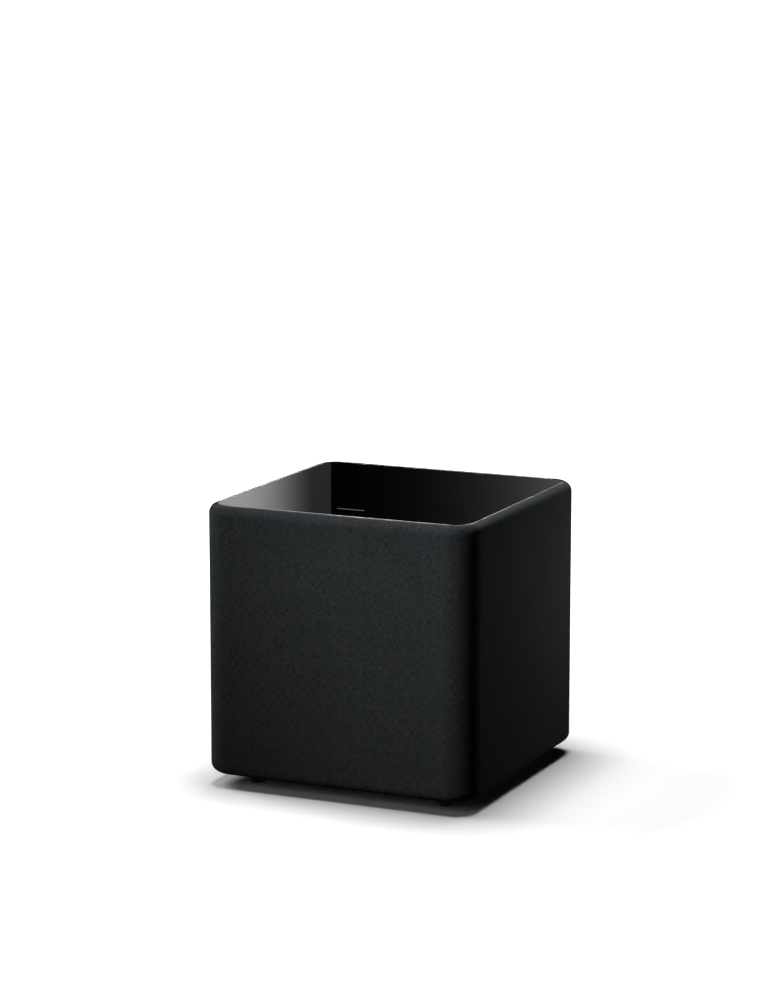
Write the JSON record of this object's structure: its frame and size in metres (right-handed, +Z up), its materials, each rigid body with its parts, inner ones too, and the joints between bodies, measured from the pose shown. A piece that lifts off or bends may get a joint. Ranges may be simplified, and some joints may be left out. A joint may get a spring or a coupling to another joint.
{
  "type": "subwoofer",
  "caption": "Compact cube subwoofer wrapped in dark knitted fabric, with a flat gloss top panel, small rubber feet, a front-firing driver and a recessed amplifier panel at the back.",
  "frame": {"origin": "on the floor, under the middle of the cabinet", "axes": "+Z up; the front with the driver faces -Y; +X is the cabinet's right-hand side seen from the front, and the long way of the box"},
  "size_m": [0.26, 0.258, 0.2568],
  "materials": {
    "fabric": "matt two-tone knit",
    "gloss_top": "mirror gloss",
    "trim": "bright polished",
    "inlay": "satin",
    "board": "raw fibreboard",
    "wadding": "loose polyester fibre",
    "black_plastic": "fine moulded texture",
    "foot_rubber": "matt",
    "screw_steel": "black oxide",
    "basket_paint": "semi-matt powder coat",
    "foam": "closed-cell foam",
    "plated_steel": "zinc plated",
    "ferrite": "ground ferrite",
    "copper": "bright copper",
    "former": "amber film",
    "spider_cloth": "resin-stiffened cloth",
    "cone_paper": "pressed pulp",
    "surround_rubber": "satin",
    "terminal_board": "phenolic board",
    "braid": "braided",
    "panel_paint": "fine black powder coat",
    "circuit_board": "solder resist",
    "brass": "plated",
    "aluminium": "extruded",
    "transformer_tape": "polyester tape",
    "capacitor_sleeve": "shrink sleeve",
    "nickel": "nickel plated",
    "knob_plastic": "soft satin",
    "lever_plastic": "moulded",
    "switch_plastic": "moulded",
    "rocker_plastic": "polished",
    "insulator": "white and red",
    "lens": "frosted",
    "red_sleeving": "wire insulation",
    "black_sleeving": "wire insulation"
  },
  "bodies": {
    "cabinet": {"fabric_sleeve": "fabric", "top_panel": "gloss_top", "top_trim_ring": "trim", "top_inlay": "inlay", "top_board": "board", "bottom_board": "board", "side_board_left": "board", "side_board_right": "board", "front_baffle": "board", "rear_board": "board", "corner_posts": "board", "cabinet_brace": "board", "acoustic_wadding": "wadding", "grille_frame": "black_plastic", "grille_pegs": "black_plastic", "base_plate": "black_plastic", "feet": "foot_rubber", "foot_screws": "screw_steel", "driver_basket": "basket_paint", "driver_gasket": "foam", "driver_screws": "screw_steel", "front_pole_plate": "plated_steel", "magnet_ring": "ferrite", "rear_pole_piece": "plated_steel", "shorting_ring": "copper", "spider": "spider_cloth", "surround": "surround_rubber", "driver_terminals": "terminal_board", "tinsel_leads": "braid", "amp_bezel": "black_plastic", "amp_gasket": "foam", "amp_panel": "panel_paint", "amp_screws": "screw_steel", "amp_board": "circuit_board", "power_board": "circuit_board", "board_standoffs": "brass", "heat_sink": "aluminium", "power_transformer": "transformer_tape", "capacitors": "capacitor_sleeve", "control_pots": "nickel", "slide_switches": "nickel", "power_switch_housing": "switch_plastic", "mains_inlet": "switch_plastic", "inlet_pins": "brass", "line_in_jacks": "brass", "line_in_insulators": "insulator", "status_lens": "lens", "speaker_lead_red": "red_sleeving", "speaker_lead_black": "black_sleeving"},
    "cone_assembly": {"cone": "cone_paper", "dust_cap": "cone_paper", "voice_coil_former": "former", "voice_coil": "copper"},
    "volume_control": {"volume_knob": "knob_plastic", "volume_shaft": "nickel"},
    "crossover_control": {"crossover_knob": "knob_plastic", "crossover_shaft": "nickel"},
    "phase_slider": {"phase_lever": "lever_plastic"},
    "mode_slider": {"mode_lever": "lever_plastic"},
    "power_switch_rocker": {"power_rocker": "rocker_plastic"}
  },
  "joints": [
    {"name": "cone_travel", "type": "slide", "parent": "cabinet", "child": "cone_assembly", "axis": [0, -1, 0], "range_m": [-0.008, 0.008], "stiffness_N_per_m": 1500, "deforming": ["surround", "spider", "tinsel_leads"]},
    {"name": "volume_turn", "type": "hinge", "parent": "cabinet", "child": "volume_control", "pos_m": [0.038, 0.1234, 0.1822], "axis": [0, -1, 0], "range_deg": [-150, 150]},
    {"name": "crossover_turn", "type": "hinge", "parent": "cabinet", "child": "crossover_control", "pos_m": [-0.038, 0.1234, 0.1822], "axis": [0, -1, 0], "range_deg": [-150, 150]},
    {"name": "phase_slide", "type": "slide", "parent": "cabinet", "child": "phase_slider", "axis": [1, 0, 0], "range_m": [0, 0.004]},
    {"name": "mode_slide", "type": "slide", "parent": "cabinet", "child": "mode_slider", "axis": [1, 0, 0], "range_m": [-0.004, 0.004]},
    {"name": "power_rock", "type": "hinge", "parent": "cabinet", "child": "power_switch_rocker", "pos_m": [-0.038, 0.112, 0.0822], "axis": [-1, 0, 0], "range_deg": [0, 16]}
  ]
}
